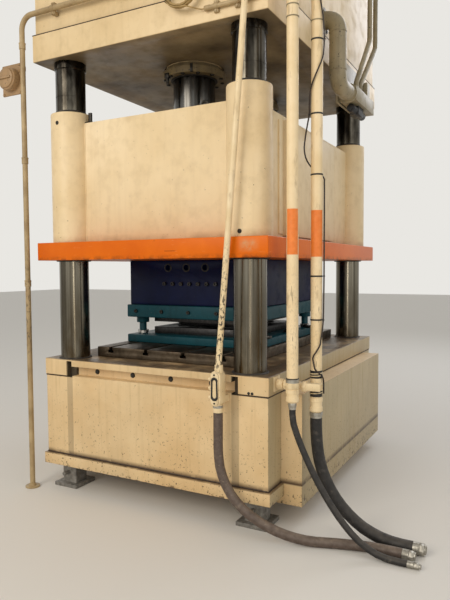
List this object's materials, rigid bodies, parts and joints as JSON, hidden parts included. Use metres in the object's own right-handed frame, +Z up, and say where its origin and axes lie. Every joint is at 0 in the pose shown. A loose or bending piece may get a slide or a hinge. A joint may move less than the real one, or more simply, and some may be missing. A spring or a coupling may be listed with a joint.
{
  "type": "hydraulic press",
  "caption": "Column-guided hydraulic press with a vertical slide, mounted die set, welded bed, crown, oil block, conduits and hoses.",
  "frame": {"origin": "middle of the press's footprint on the floor", "axes": "+Z up, +X to the right seen from the front, +Y from the front to the back"},
  "size_m": [2.8533, 2.436, 4.0315],
  "materials": {
    "cream_paint": "gloss enamel, chipped and dusty",
    "orange_paint": "gloss enamel, scratched",
    "polished_steel": "ground and polished, oiled",
    "machined_steel": "machined, oiled",
    "bronze": "machined bearing bronze",
    "navy_paint": "satin paint",
    "teal_paint": "satin paint, greasy",
    "tool_steel": "ground, blackened by use",
    "cast_iron": "painted over in places, dirty",
    "zinc_fitting": "zinc plated, dull",
    "black_rubber": "dusty",
    "blue_black_plastic": "moulded coil covers"
  },
  "bodies": {
    "frame": {"bed_weldment": "cream_paint", "bolster_plate": "tool_steel", "cable_coil": "black_rubber", "column_back_left": "polished_steel", "column_back_right": "polished_steel", "column_front_left": "polished_steel", "column_front_right": "polished_steel", "column_nut_lower_back_left": "machined_steel", "column_nut_lower_back_right": "machined_steel", "column_nut_lower_front_left": "machined_steel", "column_nut_lower_front_right": "machined_steel", "column_nut_upper_back_left": "machined_steel", "column_nut_upper_back_right": "machined_steel", "column_nut_upper_front_left": "machined_steel", "column_nut_upper_front_right": "machined_steel", "conduit_leaning": "cream_paint", "crown_base_plate": "cream_paint", "crown_body": "cream_paint", "crown_conduit_left": "cream_paint", "crown_conduit_right": "zinc_fitting", "cylinder_barrel_back": "cast_iron", "cylinder_barrel_front": "cast_iron", "die_block": "tool_steel", "gland_ring_back": "cast_iron", "gland_ring_front": "cast_iron", "hose_connector_front": "zinc_fitting", "hose_connector_leaning": "zinc_fitting", "hose_connector_rear": "zinc_fitting", "hose_front": "black_rubber", "hose_leaning": "black_rubber", "hose_rear": "black_rubber", "junction_box": "cream_paint", "leveling_pad_back_left": "cast_iron", "leveling_pad_back_right": "cast_iron", "leveling_pad_front_left": "cast_iron", "leveling_pad_front_right": "cast_iron", "lower_die_shoe": "teal_paint", "manifold_block": "cast_iron", "pressure_tube_back": "machined_steel", "pressure_tube_front": "machined_steel", "pull_box": "cream_paint", "riser_conduit_front": "cream_paint", "riser_conduit_rear": "cream_paint", "riser_coupling_front": "zinc_fitting", "riser_coupling_rear": "zinc_fitting", "riser_strut": "zinc_fitting", "signal_cable": "black_rubber", "solenoid_valve": "blue_black_plastic", "suction_pipe": "cast_iron"},
    "slide": {"guide_bushing_back_left": "bronze", "guide_bushing_back_right": "bronze", "guide_bushing_front_left": "bronze", "guide_bushing_front_right": "bronze", "main_ram_back": "polished_steel", "main_ram_front": "polished_steel", "punch": "tool_steel", "slide_body": "cream_paint", "slide_plate": "orange_paint", "upper_die_block": "navy_paint", "upper_die_shoe": "teal_paint"}
  },
  "joints": [
    {"name": "slide_stroke", "type": "slide", "parent": "frame", "child": "slide", "axis": [0, 0, 1], "range_m": [-0.035, 0.26]}
  ]
}
